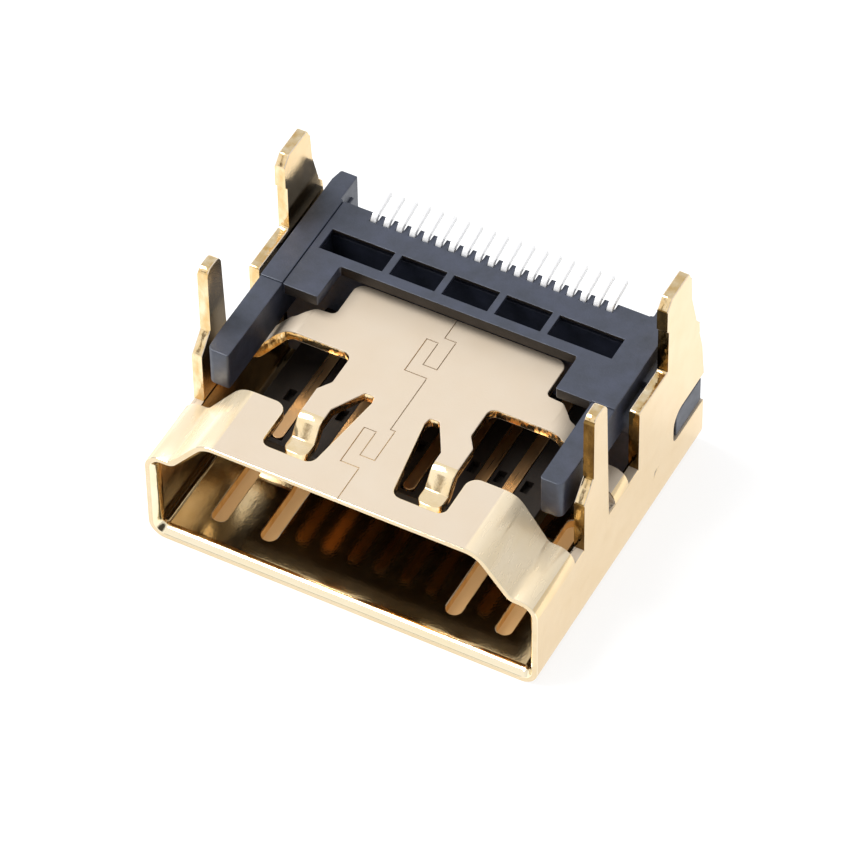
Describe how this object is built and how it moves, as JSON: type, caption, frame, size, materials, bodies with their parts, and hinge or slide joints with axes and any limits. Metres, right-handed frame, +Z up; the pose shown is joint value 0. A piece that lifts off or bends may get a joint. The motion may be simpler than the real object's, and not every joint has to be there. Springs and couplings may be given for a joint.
{
  "type": "board-mount digital video socket",
  "caption": "Shielded board-mount video socket with a folded gold-plated shell, spring fingers, a plastic tongue with contact strips, board legs and a comb of solder tails",
  "frame": {"origin": "the middle of the footprint, on the surface the wide face of the shell lies on", "axes": "+X across the mouth, +Y from the mouth to the solder tails, +Z up toward the board legs"},
  "size_m": [0.0148, 0.0126, 0.0096],
  "materials": {
    "gold_plate": "bright gold plating on folded copper-alloy sheet",
    "black_plastic": "fine matte moulding",
    "plated_contact": "bright plating, gold on the strips and tin on the tails"
  },
  "bodies": {
    "root": {"shell": "gold_plate", "housing": "black_plastic", "tail_spacer": "black_plastic", "contact_01": "plated_contact", "contact_02": "plated_contact", "contact_03": "plated_contact", "contact_04": "plated_contact", "contact_05": "plated_contact", "contact_06": "plated_contact", "contact_07": "plated_contact", "contact_08": "plated_contact", "contact_09": "plated_contact", "contact_10": "plated_contact", "contact_11": "plated_contact", "contact_12": "plated_contact", "contact_13": "plated_contact", "contact_14": "plated_contact", "contact_15": "plated_contact", "contact_16": "plated_contact", "contact_17": "plated_contact", "contact_18": "plated_contact", "contact_19": "plated_contact"}
  },
  "joints": []
}
